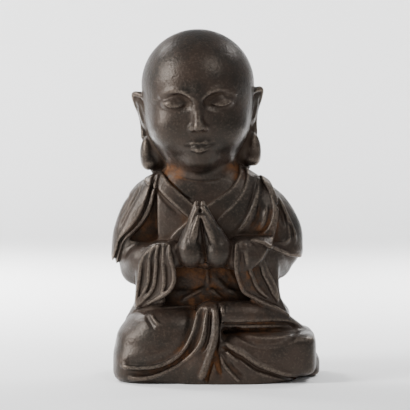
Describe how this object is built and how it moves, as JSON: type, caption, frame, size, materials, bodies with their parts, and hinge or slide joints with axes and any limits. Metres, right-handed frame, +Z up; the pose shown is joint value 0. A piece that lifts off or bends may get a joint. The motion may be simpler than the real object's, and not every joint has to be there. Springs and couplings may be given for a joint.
{
  "type": "praying buddha statue",
  "caption": "Seated robed monk with palms together before the chest, cast in one piece with a flat underside that it stands on.",
  "frame": {"origin": "centre of the bounding box, on the ground under the statue", "axes": "+X to the right of a viewer who faces the figure, -Y towards that viewer, +Z up"},
  "size_m": [0.1804, 0.1192, 0.2998],
  "materials": {
    "dark_cast_metal": "dark brown to black, semi-gloss, fine cast grain, orange-brown bloom in the recesses"
  },
  "bodies": {
    "root": {"buddha_statue": "dark_cast_metal"}
  },
  "joints": []
}
